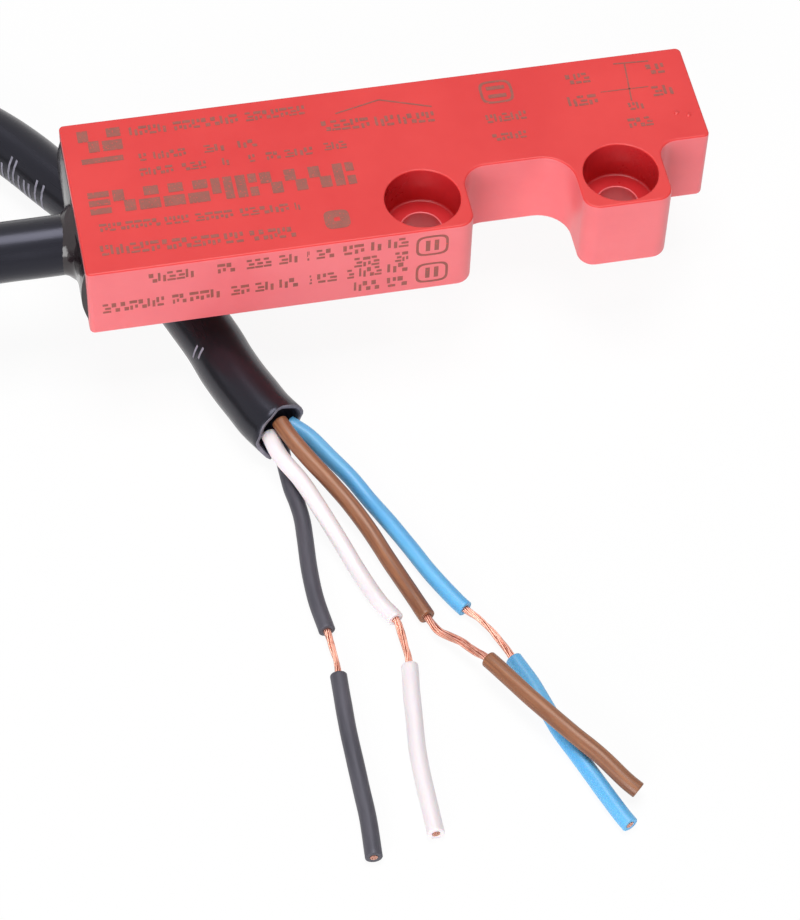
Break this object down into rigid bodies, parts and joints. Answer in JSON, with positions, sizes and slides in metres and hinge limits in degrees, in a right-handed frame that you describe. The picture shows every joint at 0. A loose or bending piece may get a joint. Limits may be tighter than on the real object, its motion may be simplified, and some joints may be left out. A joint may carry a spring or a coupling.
{
  "type": "magnetic safety switch",
  "caption": "Slim potted reed safety switch with counterbored fixing lugs along one side and a coiled flying lead moulded into one end, its cores cut back for wiring.",
  "frame": {"origin": "centre of the housing's flat mounting face, the face opposite the marked one", "axes": "+X along the housing away from the cable, +Y towards the plain long side, +Z out of the marked face"},
  "size_m": [0.134, 0.0829, 0.0139],
  "materials": {
    "red_moulding": "satin moulded thermoplastic",
    "dark_resin": "cast potting resin",
    "board_laminate": "glass-epoxy laminate",
    "reed_glass": "clear sealed glass",
    "reed_alloy": "tinned nickel-iron wire",
    "blade_plating": "plated contact blade",
    "chip_ceramic": "glazed ceramic chip",
    "solder": "solder",
    "jacket": "black extruded sheath",
    "white_insulation": "extruded insulation",
    "brown_insulation": "extruded insulation",
    "blue_insulation": "extruded insulation",
    "black_insulation": "extruded insulation",
    "copper_strands": "bare stranded copper"
  },
  "bodies": {
    "switch_body": {"housing": "red_moulding", "potting_resin": "dark_resin", "circuit_board": "board_laminate", "reed_a_glass": "reed_glass", "reed_a_fixed_lead": "reed_alloy", "reed_a_moving_lead": "reed_alloy", "reed_b_glass": "reed_glass", "reed_b_open_lead": "reed_alloy", "reed_b_closed_lead": "reed_alloy", "reed_b_common_lead": "reed_alloy", "resistor_a": "chip_ceramic", "resistor_b": "chip_ceramic", "solder_joints": "solder", "white_tail": "white_insulation", "brown_tail": "brown_insulation", "blue_tail": "blue_insulation", "black_tail": "black_insulation", "cable_exit_run": "jacket", "cable_coil": "jacket", "cable_return_run": "jacket", "white_core": "white_insulation", "brown_core": "brown_insulation", "blue_core": "blue_insulation", "black_core": "black_insulation", "white_conductor": "copper_strands", "brown_conductor": "copper_strands", "blue_conductor": "copper_strands", "black_conductor": "copper_strands", "white_slug": "white_insulation", "brown_slug": "brown_insulation", "blue_slug": "blue_insulation", "black_slug": "black_insulation"},
    "closing_blade": {"reed_a_blade": "blade_plating"},
    "changeover_blade": {"reed_b_blade": "blade_plating"}
  },
  "joints": [
    {"name": "closing_contact", "type": "hinge", "parent": "switch_body", "child": "closing_blade", "pos_m": [0.01647, 0.00471, 0.00335], "axis": [0, 0, 1], "range_deg": [0, 1.2], "stiffness_Nm_per_rad": 0.000005},
    {"name": "changeover_contact", "type": "hinge", "parent": "switch_body", "child": "changeover_blade", "pos_m": [0.01747, 0.00215, 0.00365], "axis": [0, 0, 1], "range_deg": [0, 1.5], "stiffness_Nm_per_rad": 0.000005}
  ]
}
